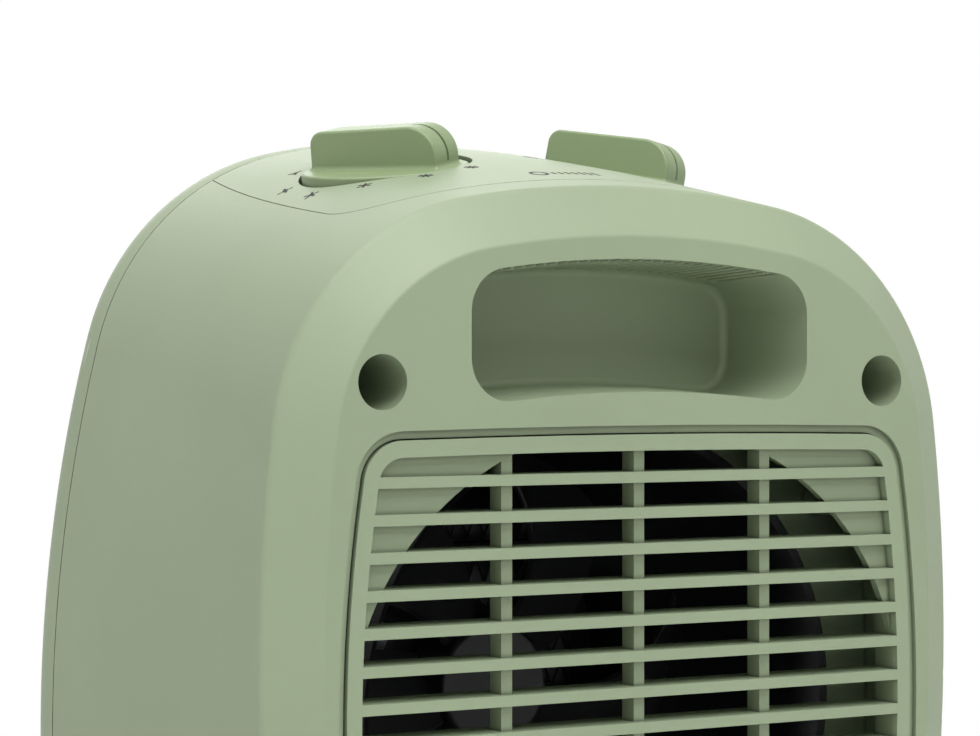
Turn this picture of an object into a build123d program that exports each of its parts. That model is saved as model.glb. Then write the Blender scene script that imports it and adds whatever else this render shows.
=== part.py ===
from build123d import *
import os
from dataclasses import dataclass
from math import atan2, cos, degrees, radians, sin, sqrt, tan

os.makedirs("parts", exist_ok=True)

# A portable ceramic fan heater, in millimetres. X runs across it, Y from its front (minus) to its
# back (plus), and Z up from the floor. The origin is on the floor under the middle of the body.

# Casing
wall = 2.5
underside = 4.0
base_corner_radius = 40.0

# Outline of the front cover at its front face
front_top = 237.1
front_crown_radius = 142.0
front_shoulder_radius = 63.9
front_half_width = 91.75

# Outline at the seam between the front cover and the rear housing
seam_top = 234.0
seam_crown_radius = 140.0
seam_shoulder_radius = 65.0
seam_half_width = 92.4
seam_side_radius = 375.0
seam_waist = 89.3

# Outline behind the seam, where the top swells most
swell_top = 230.7
swell_crown_radius = 150.0
swell_shoulder_radius = 62.5
swell_half_width = 92.7
swell_side_radius = 388.0
swell_waist = 97.2

# Outline where the sides turn into the rear band
band_top = 218.0
band_crown_radius = 249.0
band_shoulder_radius = 57.8
band_half_width = 93.4
band_side_radius = 415.0
band_waist = 112.7
band_width = 11.4

# Depths of the casing along Y
front_y = -66.5
seam_y = -48.4
swell_y = -12.0
band_y = 59.5
back_y = 67.0
seam_gap = 0.4
front_rounding = 13.2
band_softening = 2.0
back_softening = 1.5

# Lip of the front cover inside the rear housing
lip_length = 3.0
lip_root = 4.0
lip_thickness = 1.2
lip_clearance = 0.8

# Screw wells that open in the back face, and the posts of the front cover that they meet
upper_screw_x = 67.7
upper_screw_height = 174.0
lower_screw_x = 56.0
lower_screw_height = 26.5
well_mouth_radius = 6.0
well_wall = 2.0
well_floor_y = -20.0
well_floor = 3.0
post_radius = 5.0
post_pilot_depth = 16.0
housing_screw_grip = 12.0

# Self-tapping screws
screw_radius = 1.5
screw_head_radius = 2.9
screw_head_height = 1.8
screw_hole_clearance = 0.3
screw_pilot_clearance = 0.05

# Handle recess in the back face
grip_half_width = 45.6
grip_top = 201.4
grip_top_radius = 265.0
grip_bottom = 171.65
grip_bottom_radius = 326.0
grip_corner = 9.5
grip_depth = 30.0
grip_draft = 3.0
grip_floor_rounding = 1.8

# Pocket for the rear grille, and the grille
pocket_top = 162.55
pocket_bottom = 38.65
pocket_half_width = 76.65
pocket_side_radius = 335.0
pocket_crown_radius = 3000.0
pocket_corner = 10.0
pocket_depth = 17.0
pocket_step_width = 1.65
pocket_step_depth = 1.25
grille_gap = 0.35
grille_setback = 0.1
grille_frame_width = 3.65
grille_frame_depth = 8.2
slat_depth = 12.2
slat_thickness = 2.4
slat_pitch = 8.0
bar_width = 2.8
bar_depth = 4.6
bar_setback = 2.4
bar_spacing = 35.1
web_thickness = 2.0
web_half_width = 74.2
web_half_height = 64.4
leg_x = 61.0
leg_rise = 45.0
leg_radius = 3.5

# Fan duct and the spider that carries the motor
fan_height = 100.6
duct_radius = 58.5
duct_wall = 2.0
duct_mouth_radius = 62.6
duct_mouth_length = 8.0
duct_fit = 0.3
duct_front_y = -42.0
duct_flange_thickness = 2.5
duct_lug_x = 52.0
duct_lug_height = 44.0
duct_lug_radius = 5.0
duct_boss_radius = 4.0
duct_boss_length = 5.5
spider_radius = 20.0
spider_thickness = 2.5
spider_arm_width = 6.0
spider_arm_count = 4

# Fan rotor
hub_radius = 15.0
hub_length = 16.0
hub_rear_y = 4.0
hub_wall = 2.0
hub_edge_rounding = 1.5
hub_socket_radius = 4.0
blade_count = 5
blade_tip_gap = 1.5
blade_thickness = 1.6
blade_root_chord = 19.0
blade_tip_chord = 52.0
blade_root_pitch = 34.0
blade_tip_pitch = 16.0
blade_sweep = 36.0
blade_sweep_power = 1.6
blade_start_angle = 40.0
blade_stations = 5

# Fan motor
hub_to_spider = 3.5
motor_radius = 18.0
motor_length = 20.0
motor_wall = 1.0
motor_face = 2.5
motor_cap_thickness = 2.5
motor_boss_radius = 4.5
motor_boss_length = 2.0
shaft_radius = 1.5
shaft_running_clearance = 0.05
bush_radius = 3.2
bush_length = 3.0
magnet_thickness = 2.6
magnet_length = 14.0
magnet_angle = 130.0
air_gap = 0.6
armature_length = 12.0
motor_screw_circle = 8.0
motor_screw_radius = 1.0

# Ceramic heating element
heater_depth = 14.0
heater_half_width = 52.0
heater_side = 12.0
flange_margin = 1.0
heater_fit = 0.2
row_count = 4
fin_height = 8.0
fin_depth = 12.0
fin_pitch = 5.2
fin_thickness = 1.3
plate_thickness = 0.8
stone_thickness = 2.4
stone_length = 24.0
stones_per_row = 4
terminal_width = 6.3
terminal_reach = 3.0
terminal_root = 5.0
heater_screw_rise = 36.0
heater_screw_inset = 6.0
heater_boss_radius = 3.5
heater_boss_length = 8.0
flange_corner = 6.0
cutout_radius = 6.4
cutout_height = 6.0
cutout_x = -22.0
fuse_radius = 2.0
fuse_length = 12.0
fuse_x = 22.0
fuse_lead_radius = 0.5

# Front grille
window_top = 160.0
window_bottom = 41.2
window_half_width = 71.0
window_corner = 11.0
front_grille_depth = 8.0
front_collar_depth = 8.5
front_frame_width = 3.5
front_slat_thickness = 2.0
front_slat_pitch = 8.0
front_bar_width = 2.4
front_bar_depth = 4.0

# Control panel and its knob wells
panel_front_half_width = 49.8
panel_rear_half_width = 61.2
panel_side_bow = 3.75
panel_rear_y = 51.3
panel_rear_radius = 620.0
panel_corner = 19.0
panel_gap = 0.25
panel_cut_height = 206.0
ledge_width = 3.0
ledge_thickness = 1.5
knob_x = 32.5
knob_y = 7.0
knob_tilt_out = 8.2
knob_tilt_back = 6.3
knob_well_gap = 0.8
knob_well_wall = 1.5
knob_well_floor = 2.0
knob_well_depth = 7.5

# Knobs
knob_radius = 19.75
knob_proud = -0.8
knob_skirt = 6.1
knob_edge_rounding = 0.6
knob_hollow_depth = 3.0
knob_hub_radius = 6.5
wing_length = 33.5
wing_thickness = 11.5
wing_height = 9.7
wing_rise = 2.0
wing_tail_rounding = 3.2
wing_nose_rounding = 7.6
wing_edge_rounding = 0.7
wing_foot_rounding = 1.2
groove_width = 1.0
groove_depth = 0.8
groove_length = 9.0
groove_foot = 1.5
wing_angle = 121.0

# Rotary controls under the panel
control_shaft_radius = 3.0
control_shaft_flat = 2.2
control_shaft_engagement = 4.0
control_shaft_tail = 12.0
knob_socket_clearance = 0.02
control_screw_spacing = 20.0
control_screw_radius = 1.25
control_screw_head_radius = 2.4
control_screw_head_height = 1.4
control_screw_length = 8.0
thermostat_length = 26.0
thermostat_width = 16.0
thermostat_height = 13.0
blade_spring_length = 30.0
blade_spring_width = 8.0
blade_spring_thickness = 0.6
rivet_radius = 1.2
rivet_inset = 2.0
switch_size = 28.0
switch_height = 14.0
switch_terminal_height = 7.0

# Base plate, feet and tip-over switch
plate_length = 92.0
plate_width = 66.0
plate_y = 4.0
plate_corner = 8.0
plate_gap = 0.3
rim_width = 4.0
rim_height = 2.0
base_boss_radius = 4.0
base_boss_height = 9.0
base_screw_inset = 7.0
foot_radius = 7.0
foot_recess = 1.5
foot_x = 60.0
foot_rear_y = 46.0
foot_front_y = -36.0
foot_fit = 0.1
foot_bevel = 0.6
tip_x = 20.0
tip_y = 4.0
tip_travel = 6.0
tip_body_size = 16.0
tip_body_height = 26.0
tip_body_corner = 2.0
tip_stem_radius = 3.0
tip_collar_radius = 5.0
tip_collar_height = 2.0
tip_floor = 2.0
tip_roof = 2.0
tip_clearance = 0.06
tip_pin_radius = 1.6
spring_wire_radius = 0.35
spring_turns = 6

# Inlet of the mains cord
inlet_height = 26.3
inlet_radius = 5.5
inlet_flange_radius = 7.5
inlet_flange_thickness = 1.2
inlet_clip_height = 1.5
inlet_clip_radius = 6.2
inlet_bore_radius = 3.6
inlet_fit = 0.1

# Both sides of the symmetric body
sides = (1, -1)


def direction(vector):
    """Angle of a flat vector from the first drawing axis, in degrees."""
    return degrees(atan2(vector.Y, vector.X))


def sagitta(radius, offset_from_middle):
    """How far an arc has fallen from its crown at an offset from its middle."""
    return radius - sqrt(radius**2 - offset_from_middle**2)


def across(depth):
    """Upright drawing plane at a depth along Y, with X to the right and Z up, facing the front."""
    return Plane.XZ.offset(-depth)


def fan_plane(depth):
    """Upright drawing plane at a depth along Y, centred on the fan's axis and facing the front."""
    return Plane(origin=(0, depth, fan_height), x_dir=(1, 0, 0), z_dir=(0, -1, 0))


def plate_plane(height):
    """Level drawing plane at a height, centred over the base plate."""
    return Plane.XY.offset(height).move(Location((0, plate_y, 0)))


def facing_back(depth, height=0.0):
    """Upright plane at a depth and height that faces the back, for screws driven from behind."""
    return Plane(origin=(0, depth, height), x_dir=(-1, 0, 0), z_dir=(0, 1, 0))


def crossing(first, first_radius, second, second_radius):
    """The upper right crossing of two circles, given by their centres and radii."""
    gap = (second - first).length
    along = (first_radius**2 - second_radius**2 + gap**2) / (2 * gap)
    aside = sqrt(first_radius**2 - along**2)
    step = (second - first) / gap
    return first + step * along + Vector(step.Y, -step.X) * aside


@dataclass(frozen=True)
class Outline:
    """Upright outline of tangent arcs: a crown, two shoulders, two bowed sides and two corners."""

    top: float
    crown: float
    shoulder: float
    half_width: float
    side: float
    waist: float
    bottom: float
    corner: float

    def grown(self, distance):
        """The same outline with its whole line moved outward."""
        return Outline(
            self.top + distance,
            self.crown + distance,
            self.shoulder + distance,
            self.half_width + distance,
            self.side + distance,
            self.waist,
            self.bottom - distance,
            self.corner + distance,
        )

    def centres(self):
        """Centres of the crown, side, shoulder and corner arcs of the right half."""
        crown = Vector(0, self.top - self.crown)
        side = Vector(self.half_width - self.side, self.waist)
        shoulder = crossing(crown, self.crown - self.shoulder, side, self.side - self.shoulder)
        drop = self.waist - self.bottom - self.corner
        corner = side + Vector(sqrt((self.side - self.corner) ** 2 - drop**2), -drop)
        return crown, side, shoulder, corner

    def face(self):
        """The outline as a flat face in its own drawing plane."""
        crown, side, shoulder, corner = self.centres()
        crown_angle = direction(shoulder - crown)
        shoulder_angle = direction(shoulder - side)
        corner_angle = direction(corner - side)
        with BuildSketch() as sketch:
            with BuildLine():
                CenterArc(shoulder, self.shoulder, crown_angle, shoulder_angle - crown_angle)
                CenterArc(side, self.side, shoulder_angle, corner_angle - shoulder_angle)
                CenterArc(corner, self.corner, corner_angle, -90 - corner_angle)
                mirror(about=Plane.YZ)
                CenterArc(crown, self.crown, crown_angle, 180 - 2 * crown_angle)
                Line((corner.X, self.bottom), (-corner.X, self.bottom))
            make_face()
        return sketch.sketch

    def height_at(self, x):
        """The outline's height at a distance from its middle, over its crown and its shoulders."""
        crown, _, shoulder, _ = self.centres()
        crown_foot = self.crown * (shoulder - crown).X / (shoulder - crown).length
        if abs(x) < crown_foot:
            return crown.Y + sqrt(self.crown**2 - x**2)
        return shoulder.Y + sqrt(self.shoulder**2 - (abs(x) - shoulder.X) ** 2)

    def half_width_at(self, height):
        """Half of the outline's width at a height, between its crown and its bottom line."""
        crown, side, shoulder, corner = self.centres()
        shoulder_foot = side.Y + self.side * (shoulder - side).Y / (shoulder - side).length
        corner_head = side.Y + self.side * (corner - side).Y / (corner - side).length
        if height > shoulder_foot:
            return shoulder.X + sqrt(self.shoulder**2 - (height - shoulder.Y) ** 2)
        if height < corner_head:
            return corner.X + sqrt(self.corner**2 - (height - corner.Y) ** 2)
        return side.X + sqrt(self.side**2 - (height - side.Y) ** 2)


def prism(outline, depth, length):
    """An outline as a solid that runs from a depth towards the front."""
    with BuildPart() as solid:
        with BuildSketch(across(depth)):
            add(outline.face())
        extrude(amount=length)
    return solid.part


def span(front_outline, front_depth, rear_outline, rear_depth):
    """A solid that changes evenly from one outline to another along Y."""
    with BuildPart() as solid:
        with BuildSketch(across(front_depth)):
            add(front_outline.face())
        with BuildSketch(across(rear_depth)):
            add(rear_outline.face())
        loft(ruled=True)
    return solid.part


cover_edge = Outline(
    front_top,
    front_crown_radius,
    front_shoulder_radius,
    front_half_width,
    seam_side_radius,
    seam_waist,
    underside,
    base_corner_radius,
)
seam_edge = Outline(
    seam_top,
    seam_crown_radius,
    seam_shoulder_radius,
    seam_half_width,
    seam_side_radius,
    seam_waist,
    underside,
    base_corner_radius,
)
swell_edge = Outline(
    swell_top,
    swell_crown_radius,
    swell_shoulder_radius,
    swell_half_width,
    swell_side_radius,
    swell_waist,
    underside,
    base_corner_radius,
)
band_edge = Outline(
    band_top,
    band_crown_radius,
    band_shoulder_radius,
    band_half_width,
    band_side_radius,
    band_waist,
    underside,
    base_corner_radius,
)
back_edge = band_edge.grown(-band_width)
pocket_edge = Outline(
    pocket_top,
    pocket_crown_radius,
    pocket_corner,
    pocket_half_width,
    pocket_side_radius,
    fan_height,
    pocket_bottom,
    pocket_corner,
)
window_edge = Outline(
    window_top,
    pocket_crown_radius,
    window_corner,
    window_half_width,
    pocket_side_radius,
    fan_height,
    window_bottom,
    window_corner,
)


def body_form(inset, rear_y=band_y):
    """The swelling body from the seam to the rear band, inset from its outer skin."""
    with BuildPart() as solid:
        for outline, depth in ((seam_edge, seam_y), (swell_edge, swell_y), (band_edge, rear_y)):
            with BuildSketch(across(depth)):
                add(outline.grown(-inset).face())
        loft()
    return solid.part


def body_top_at(x, y):
    """Height of the body's top over a place in plan, on the curve through its three outlines."""
    depths = (seam_y, swell_y, band_y)
    height = 0.0
    for place, outline in enumerate((seam_edge, swell_edge, band_edge)):
        share = 1.0
        for other in range(len(depths)):
            if other != place:
                share *= (y - depths[other]) / (depths[place] - depths[other])
        height += share * outline.height_at(x)
    return height


# The band turns in from the sides, and the inner skin turns with it
band_turn = atan2(band_width, back_y - band_y)
back_turn = radians(90) - band_turn
inner_band_y = band_y - wall * tan(band_turn / 2)
inner_back_edge = back_edge.grown(-wall * tan(back_turn / 2))

pocket_floor_y = back_y - pocket_depth
well_front_y = well_floor_y - well_floor
housing_screw_places = [
    (side * x, height)
    for side in sides
    for x, height in ((upper_screw_x, upper_screw_height), (lower_screw_x, lower_screw_height))
]
duct_lug_places = [(side * duct_lug_x, rise * duct_lug_height) for side in sides for rise in sides]
duct_lug_y = pocket_floor_y - wall - duct_boss_length
plate_top = underside + wall
base_screw_x = plate_length / 2 - base_screw_inset
base_screw_y = plate_width / 2 - base_screw_inset
base_screw_places = [(side * base_screw_x, row * base_screw_y) for side in sides for row in sides]
foot_places = [(side * foot_x, y) for side in sides for y in (foot_rear_y, foot_front_y)]


def screw(shank_radius, head_radius, head_height, length):
    """A pan-head screw along Z: its head above the origin and its shank below."""
    with BuildPart() as piece:
        with BuildSketch():
            Circle(head_radius)
        extrude(amount=head_height)
        with BuildSketch():
            Circle(shank_radius)
        extrude(amount=-length)
        with BuildSketch(Plane.XY.offset(head_height)):
            Rectangle(head_radius, head_radius / 4)
            Rectangle(head_radius / 4, head_radius)
        extrude(amount=-head_height / 2, mode=Mode.SUBTRACT)
    return piece.part


def knob_plane(side, lift=0.0):
    """Plane square to a knob's axis, where the axis leaves the body's top, lifted along the axis."""
    lean = side * tan(radians(knob_tilt_out))
    axis = Vector(lean, tan(radians(knob_tilt_back)), 1).normalized()
    foot = Vector(side * knob_x, knob_y, body_top_at(knob_x, knob_y))
    return Plane(origin=foot + axis * lift, x_dir=(1, 0, -lean), z_dir=axis)


def grip_face(margin=0.0):
    """Outline of the handle recess, arched along its top and its bottom, with a margin around it."""
    upper = grip_top - sagitta(grip_top_radius, grip_half_width)
    lower = grip_bottom - sagitta(grip_bottom_radius, grip_half_width)
    with BuildSketch() as sketch:
        with BuildLine():
            ceiling = ThreePointArc((-grip_half_width, upper), (0, grip_top), (grip_half_width, upper))
            sill = ThreePointArc((grip_half_width, lower), (0, grip_bottom), (-grip_half_width, lower))
            Line(ceiling @ 1, sill @ 0)
            Line(sill @ 1, ceiling @ 0)
        make_face()
        fillet(sketch.vertices(), grip_corner)
        if margin:
            offset(amount=margin)
    return sketch.sketch


def grip_form(margin):
    """The handle recess as a solid, tapering inward to a rounded floor, with a margin around it."""
    with BuildPart() as form:
        with BuildSketch(across(back_y)):
            add(grip_face(margin))
        extrude(amount=grip_depth + margin, taper=grip_draft)
        fillet(form.faces().sort_by(Axis.Y)[0].edges(), grip_floor_rounding + margin)
    return form.part


def panel_plan(margin=0.0):
    """Plan of the control panel: a straight front, and bowed sides and rear edge."""
    corner_y = panel_rear_y - sagitta(panel_rear_radius, panel_rear_half_width)
    bow_x = (panel_front_half_width + panel_rear_half_width) / 2 + panel_side_bow
    bow_y = (seam_y + corner_y) / 2
    with BuildSketch() as plan:
        with BuildLine():
            rear = ThreePointArc(
                (-panel_rear_half_width, corner_y), (0, panel_rear_y), (panel_rear_half_width, corner_y)
            )
            right = ThreePointArc(rear @ 1, (bow_x, bow_y), (panel_front_half_width, seam_y))
            left = ThreePointArc((-panel_front_half_width, seam_y), (-bow_x, bow_y), rear @ 0)
            Line(right @ 1, left @ 0)
        make_face()
        fillet(plan.vertices().group_by(Axis.Y)[-1], panel_corner)
        if margin:
            offset(amount=margin)
    return plan.sketch


def panel_block(margin, foot=panel_cut_height):
    """The control panel's plan as an upright block from a height through the body's top."""
    with BuildPart() as block:
        with BuildSketch(Plane.XY.offset(foot)):
            add(panel_plan(margin))
        extrude(amount=seam_top - foot + wall)
    return block.part


# Ledge of the rear housing that carries the control panel along its sides and rear
with BuildPart() as panel_ledge:
    add(panel_block(ledge_width))
    add(panel_block(-ledge_width), mode=Mode.SUBTRACT)
    add(body_form(wall), mode=Mode.INTERSECT)
    add(body_form(wall + ledge_thickness), mode=Mode.SUBTRACT)
    with BuildSketch(across(seam_y + lip_length + lip_clearance)):
        with Locations((0, seam_top / 2)):
            Rectangle(2 * seam_half_width, seam_top)
    extrude(amount=2 * lip_length, mode=Mode.SUBTRACT)
    for side in sides:
        with BuildSketch(knob_plane(side, -knob_well_depth - knob_well_floor - wall)):
            Circle(knob_radius + knob_well_gap + knob_well_wall + panel_gap)
        extrude(amount=2 * knob_well_depth, mode=Mode.SUBTRACT)

# Rear housing: sides, top, bottom, rear band and back in one moulding
with BuildPart() as rear_housing:
    add(body_form(0))
    add(span(band_edge, band_y, back_edge, back_y))
    fillet(rear_housing.edges().filter_by_position(Axis.Y, back_y - 0.01, back_y + 0.01), back_softening)
    fillet(rear_housing.edges().filter_by_position(Axis.Y, band_y - 0.01, band_y + 0.01), band_softening)
    add(body_form(wall, inner_band_y), mode=Mode.SUBTRACT)
    inner_band = band_edge.grown(-wall)
    add(span(inner_band, inner_band_y, inner_back_edge, back_y - wall), mode=Mode.SUBTRACT)
    # Screw wells from the back face to their floors
    with BuildSketch(across(back_y - wall / 2)):
        with Locations(*housing_screw_places):
            Circle(well_mouth_radius + well_wall)
    extrude(amount=back_y - wall / 2 - well_front_y)
    with BuildSketch(across(back_y)):
        with Locations(*housing_screw_places):
            Circle(well_mouth_radius)
    extrude(amount=back_y - well_floor_y, mode=Mode.SUBTRACT)
    with BuildSketch(across(well_floor_y)):
        with Locations(*housing_screw_places):
            Circle(screw_radius + screw_hole_clearance)
    extrude(amount=well_floor, mode=Mode.SUBTRACT)
    # Handle recess
    with BuildSketch(across(back_y - wall / 2)):
        add(grip_face(wall))
    extrude(amount=wall)
    add(grip_form(wall))
    add(grip_form(0), mode=Mode.SUBTRACT)
    # Grille pocket with its stepped mouth and a round air inlet in its floor
    add(prism(pocket_edge.grown(wall), back_y - wall / 2, pocket_depth + wall / 2))
    add(prism(pocket_edge, back_y, pocket_depth), mode=Mode.SUBTRACT)
    add(prism(pocket_edge.grown(pocket_step_width), back_y, pocket_step_depth), mode=Mode.SUBTRACT)
    with BuildSketch(fan_plane(pocket_floor_y)):
        Circle(duct_mouth_radius + duct_wall + duct_fit)
    extrude(amount=wall, mode=Mode.SUBTRACT)
    with BuildSketch(fan_plane(pocket_floor_y - wall)):
        with Locations(*duct_lug_places):
            Circle(duct_boss_radius)
    extrude(amount=duct_boss_length)
    with BuildSketch(fan_plane(pocket_floor_y - wall)):
        with Locations(*duct_lug_places):
            Circle(screw_radius + screw_pilot_clearance)
    extrude(amount=duct_boss_length, mode=Mode.SUBTRACT)
    # Opening for the control panel and the ledge that carries it
    add(panel_block(0), mode=Mode.SUBTRACT)
    add(panel_ledge.part)
    # Opening for the base plate, with a rim inside it and bosses for the plate's screws
    with BuildSketch(plate_plane(plate_top)):
        RectangleRounded(plate_length + 2 * rim_width, plate_width + 2 * rim_width, plate_corner)
    extrude(amount=rim_height)
    with BuildSketch(plate_plane(plate_top)):
        RectangleRounded(plate_length - 2 * rim_width, plate_width - 2 * rim_width, plate_corner)
    extrude(amount=rim_height, mode=Mode.SUBTRACT)
    with BuildSketch(plate_plane(plate_top)):
        with Locations(*base_screw_places):
            Circle(base_boss_radius)
    extrude(amount=base_boss_height)
    with BuildSketch(plate_plane(underside)):
        RectangleRounded(plate_length, plate_width, plate_corner)
    extrude(amount=wall, mode=Mode.SUBTRACT)
    with BuildSketch(plate_plane(plate_top)):
        with Locations(*base_screw_places):
            Circle(screw_radius + screw_pilot_clearance)
    extrude(amount=base_boss_height - wall, mode=Mode.SUBTRACT)
    # Seats of the feet
    with BuildSketch(Plane.XY.offset(underside)):
        with Locations(*foot_places):
            Circle(foot_radius + foot_fit)
    extrude(amount=foot_recess, mode=Mode.SUBTRACT)
    # Cord inlet
    with BuildSketch(across(back_y)):
        with Locations((0, inlet_height)):
            Circle(inlet_flange_radius + inlet_fit)
    extrude(amount=inlet_flange_thickness, mode=Mode.SUBTRACT)
    with BuildSketch(across(back_y)):
        with Locations((0, inlet_height)):
            Circle(inlet_radius + inlet_fit)
    extrude(amount=wall, mode=Mode.SUBTRACT)
rear_housing.part.label = "rear_housing"
export_step(rear_housing.part, "parts/rear_housing.step")


def front_shell(inset):
    """The front cover's form with its rounded front edge, inset from its outer skin."""
    with BuildPart() as form:
        rear, front = seam_edge.grown(-inset), cover_edge.grown(-inset)
        add(span(front, front_y + inset, rear, seam_y - seam_gap))
        fillet(form.faces().sort_by(Axis.Y)[0].edges(), front_rounding - inset)
    return form.part


# Front cover: the bezel around the warm air outlet
with BuildPart() as front_cover:
    add(front_shell(0))
    add(front_shell(wall), mode=Mode.SUBTRACT)
    # Collar around the outlet
    add(prism(window_edge.grown(wall), front_y + front_collar_depth, front_collar_depth - wall / 2))
    add(prism(window_edge, front_y + front_collar_depth, front_collar_depth), mode=Mode.SUBTRACT)
    # Lip that enters the rear housing, on a root that joins it to the wall
    lip_edge = seam_edge.grown(-wall - lip_clearance)
    add(prism(seam_edge.grown(-wall / 2), seam_y - seam_gap - lip_clearance, lip_root))
    add(prism(lip_edge, seam_y + lip_length, lip_length + lip_root))
    lip_inner = lip_edge.grown(-lip_thickness)
    add(prism(lip_inner, seam_y + lip_length, lip_length + 2 * lip_root), mode=Mode.SUBTRACT)
    # Posts for the housing screws
    with BuildSketch(across(well_front_y)):
        with Locations(*housing_screw_places):
            Circle(post_radius)
    extrude(amount=well_front_y - front_y - wall / 2)
    with BuildSketch(across(well_front_y)):
        with Locations(*housing_screw_places):
            Circle(screw_radius + screw_pilot_clearance)
    extrude(amount=post_pilot_depth, mode=Mode.SUBTRACT)
front_cover.part.label = "front_cover"
export_step(front_cover.part, "parts/front_cover.step")

# Control panel: an insert in the body's top with a cup for each knob
with BuildPart() as control_panel:
    add(panel_block(-panel_gap))
    add(body_form(wall), mode=Mode.SUBTRACT)
    for side in sides:
        with BuildSketch(knob_plane(side, -knob_well_depth - knob_well_floor)):
            Circle(knob_radius + knob_well_gap + knob_well_wall)
        extrude(amount=2 * knob_well_depth)
    add(body_form(0), mode=Mode.INTERSECT)
    add(panel_block(-panel_gap, panel_cut_height - knob_radius), mode=Mode.INTERSECT)
    for side in sides:
        with BuildSketch(knob_plane(side, -knob_well_depth)):
            Circle(knob_radius + knob_well_gap)
        extrude(amount=2 * knob_well_depth, mode=Mode.SUBTRACT)
        with BuildSketch(knob_plane(side, -knob_well_depth)):
            Circle(control_shaft_radius + screw_hole_clearance)
            with Locations((control_screw_spacing / 2, 0), (-control_screw_spacing / 2, 0)):
                Circle(control_screw_radius + screw_hole_clearance)
        extrude(amount=-knob_well_floor, mode=Mode.SUBTRACT)
control_panel.part.label = "control_panel"
export_step(control_panel.part, "parts/control_panel.step")


def wing_profile(inset=0.0):
    """Side view of a knob's finger wing: its nose at plus X, its foot sunk into the disc."""
    tail, nose = -wing_length / 2, wing_length / 2
    climb = nose * tan(radians(wing_rise))
    foot = -2 * knob_edge_rounding
    with BuildSketch() as profile:
        with BuildLine():
            Polyline((tail, foot), (nose, foot), (nose, wing_height + climb))
            Polyline((nose, wing_height + climb), (tail, wing_height - climb), (tail, foot))
        make_face()
        upper = profile.vertices().filter_by_position(Axis.Y, 0, 2 * wing_height).sort_by(Axis.X)
        fillet(upper[0], wing_tail_rounding)
        upper = profile.vertices().filter_by_position(Axis.Y, 0, 2 * wing_height).sort_by(Axis.X)
        fillet(upper[-1], wing_nose_rounding)
        if inset:
            offset(amount=-inset)
    return profile.sketch


def wing():
    """A knob's finger wing along its own X, standing on the disc's top at Z 0."""
    with BuildPart() as form:
        with BuildSketch(Plane.XZ):
            add(wing_profile())
        extrude(amount=wing_thickness / 2, both=True)
        flanks = form.faces().filter_by(Axis.Y)
        fillet(flanks.edges().filter_by_position(Axis.Z, 0, 2 * wing_height), wing_edge_rounding)
        # Pointer groove that runs over the nose
        with BuildSketch(Plane.XZ):
            add(wing_profile())
            add(wing_profile(groove_depth), mode=Mode.SUBTRACT)
            with Locations((wing_length / 2, wing_height / 2 + groove_foot)):
                Rectangle(2 * groove_length, wing_height, mode=Mode.INTERSECT)
        extrude(amount=groove_width / 2, both=True, mode=Mode.SUBTRACT)
    return form.part


def knob():
    """A knob in its own frame: the body's top at Z 0, the wing along X with its nose at plus."""
    with BuildPart() as form:
        with BuildSketch(Plane.XY.offset(knob_proud - knob_skirt)):
            Circle(knob_radius)
        extrude(amount=knob_skirt)
        fillet(form.edges().group_by(Axis.Z)[-1], knob_edge_rounding)
        with BuildSketch(Plane.XY.offset(knob_proud - knob_skirt)):
            Circle(knob_radius - knob_hollow_depth)
            Circle(knob_hub_radius, mode=Mode.SUBTRACT)
        extrude(amount=knob_hollow_depth, mode=Mode.SUBTRACT)
        with Locations((0, 0, knob_proud)):
            add(wing())
        foot_line = form.edges().filter_by_position(Axis.Z, knob_proud - 0.01, knob_proud + 0.01)
        fillet(foot_line.sort_by(Edge.length)[:-1], wing_foot_rounding)
        # Socket with a flat for the control's shaft
        with BuildSketch(Plane.XY.offset(knob_proud - knob_skirt)):
            Circle(control_shaft_radius + knob_socket_clearance)
            with Locations((0, control_shaft_flat + control_shaft_radius + knob_socket_clearance)):
                Rectangle(4 * control_shaft_radius, 2 * control_shaft_radius, mode=Mode.SUBTRACT)
        extrude(amount=control_shaft_engagement + knob_socket_clearance, mode=Mode.SUBTRACT)
    return form.part


def control_shaft():
    """A control's shaft in the knob's own frame, with a flat where it enters the knob."""
    head = knob_proud - knob_skirt + control_shaft_engagement
    with BuildPart() as form:
        with BuildSketch(Plane.XY.offset(head)):
            Circle(control_shaft_radius)
        extrude(amount=-(head + knob_well_depth + knob_well_floor + control_shaft_tail))
        with BuildSketch(Plane.XY.offset(head)):
            with Locations((0, control_shaft_flat + control_shaft_radius)):
                Rectangle(4 * control_shaft_radius, 2 * control_shaft_radius)
        extrude(amount=-control_shaft_engagement, mode=Mode.SUBTRACT)
    return form.part


with BuildPart(knob_plane(1)) as thermostat_knob:
    add(knob(), rotation=(0, 0, wing_angle))
thermostat_knob.part.label = "thermostat_knob"
export_step(thermostat_knob.part, "parts/thermostat_knob.step")

with BuildPart(knob_plane(-1)) as mode_knob:
    add(knob(), rotation=(0, 0, wing_angle))
mode_knob.part.label = "mode_knob"
export_step(mode_knob.part, "parts/mode_knob.step")

with BuildPart(knob_plane(1)) as thermostat_shaft:
    add(control_shaft(), rotation=(0, 0, wing_angle))
thermostat_shaft.part.label = "thermostat_shaft"
export_step(thermostat_shaft.part, "parts/thermostat_shaft.step")

with BuildPart(knob_plane(-1)) as switch_shaft:
    add(control_shaft(), rotation=(0, 0, wing_angle))
switch_shaft.part.label = "switch_shaft"
export_step(switch_shaft.part, "parts/switch_shaft.step")

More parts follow.
